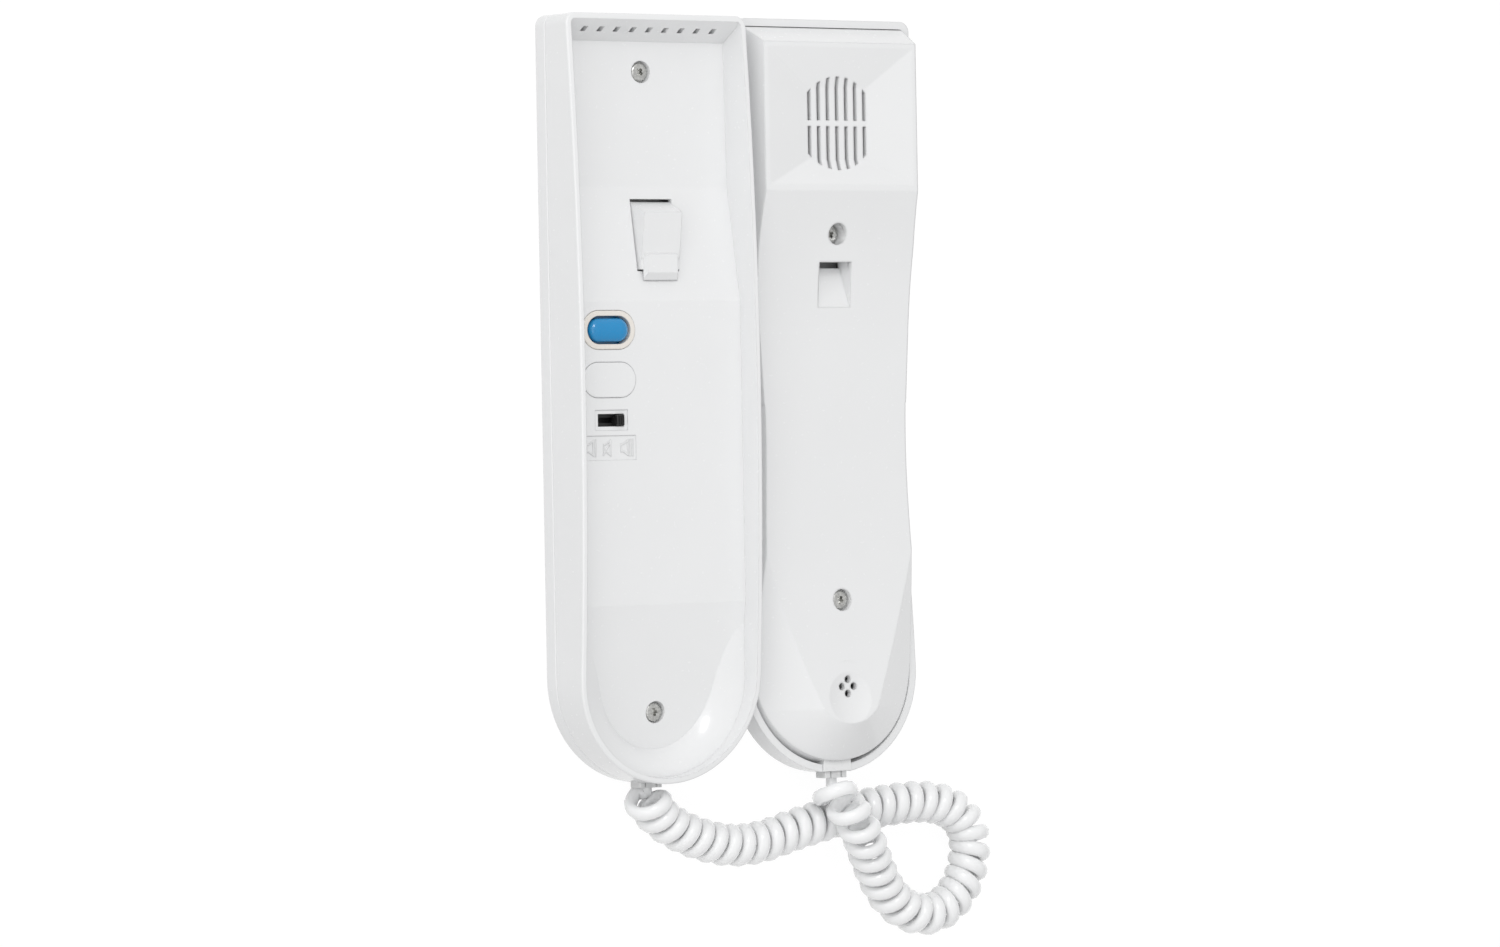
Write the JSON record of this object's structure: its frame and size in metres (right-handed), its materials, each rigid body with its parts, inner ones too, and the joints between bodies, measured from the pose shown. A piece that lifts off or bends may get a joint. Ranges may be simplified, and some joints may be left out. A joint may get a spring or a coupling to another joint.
{
  "type": "intercom handset",
  "caption": "Slim wall unit with a tray, hook lever and door button, and a lift-off handset beside it on a curly cord.",
  "frame": {"origin": "centre of the wall unit's back face", "axes": "+Z out of the wall, towards whoever uses it; +Y up along the unit; +X to the right, towards the handset as it lies"},
  "size_m": [0.1452, 0.2634, 0.0242],
  "materials": {
    "case_white": "moulded, polished",
    "bezel_cream": "moulded",
    "button_blue": "moulded",
    "switch_black": "moulded",
    "screw_steel": "zinc plated",
    "board_green": "solder mask",
    "capacitor_sleeve": "sleeved",
    "terminal_green": "moulded",
    "socket_grey": "moulded",
    "plug_clear": "clear moulded",
    "cord_white": "soft PVC",
    "lead_grey": "soft PVC",
    "earpiece_metal": "pressed",
    "felt_grey": "felt",
    "foam_grey": "open foam",
    "rubber_grey": "moulded"
  },
  "bodies": {
    "wall_unit": {"wall_plate": "case_white", "front_cover": "case_white", "cover_screws": "screw_steel", "hook_lever_pin": "screw_steel", "hook_spring": "screw_steel", "circuit_board": "board_green", "board_screws": "screw_steel", "hook_switch": "switch_black", "door_switch": "switch_black", "chips": "switch_black", "capacitors": "capacitor_sleeve", "call_sounder": "switch_black", "terminal_block": "terminal_green", "terminal_screws": "screw_steel", "button_bezel": "bezel_cream", "blank_plug": "case_white", "volume_switch": "switch_black", "base_jack": "socket_grey", "base_leads": "lead_grey", "base_plug": "plug_clear", "coil_cord": "cord_white"},
    "hook_lever": {"hook_lever": "case_white"},
    "door_button": {"door_button": "button_blue"},
    "volume_knob": {"volume_knob": "switch_black"},
    "handset": {"handset_plug": "plug_clear", "handset_jack": "socket_grey", "handset_cover": "case_white", "handset_shell": "case_white", "handset_screws": "screw_steel", "earpiece": "earpiece_metal", "earpiece_felt": "felt_grey", "earpiece_foam": "foam_grey", "microphone": "earpiece_metal", "microphone_boot": "rubber_grey", "handset_leads": "lead_grey"}
  },
  "joints": [
    {"name": "handset_lift", "type": "slide", "parent": "wall_unit", "child": "handset", "axis": [0, 0, 1], "range_m": [0, 0.06], "deforming": ["coil_cord"]},
    {"name": "hook_lever", "type": "hinge", "parent": "wall_unit", "child": "hook_lever", "pos_m": [0.0018, 0.0384, 0.0079], "axis": [1, 0, 0], "range_deg": [-11, 0], "stiffness_Nm_per_rad": 0.05, "springref_deg": 2.86, "deforming": ["hook_spring"]},
    {"name": "door_button", "type": "slide", "parent": "wall_unit", "child": "door_button", "axis": [0, 0, -1], "range_m": [0, 0.0015], "stiffness_N_per_m": 400, "springref_m": -0.001},
    {"name": "volume_switch", "type": "slide", "parent": "wall_unit", "child": "volume_knob", "axis": [1, 0, 0], "range_m": [-0.0053, 0]}
  ]
}
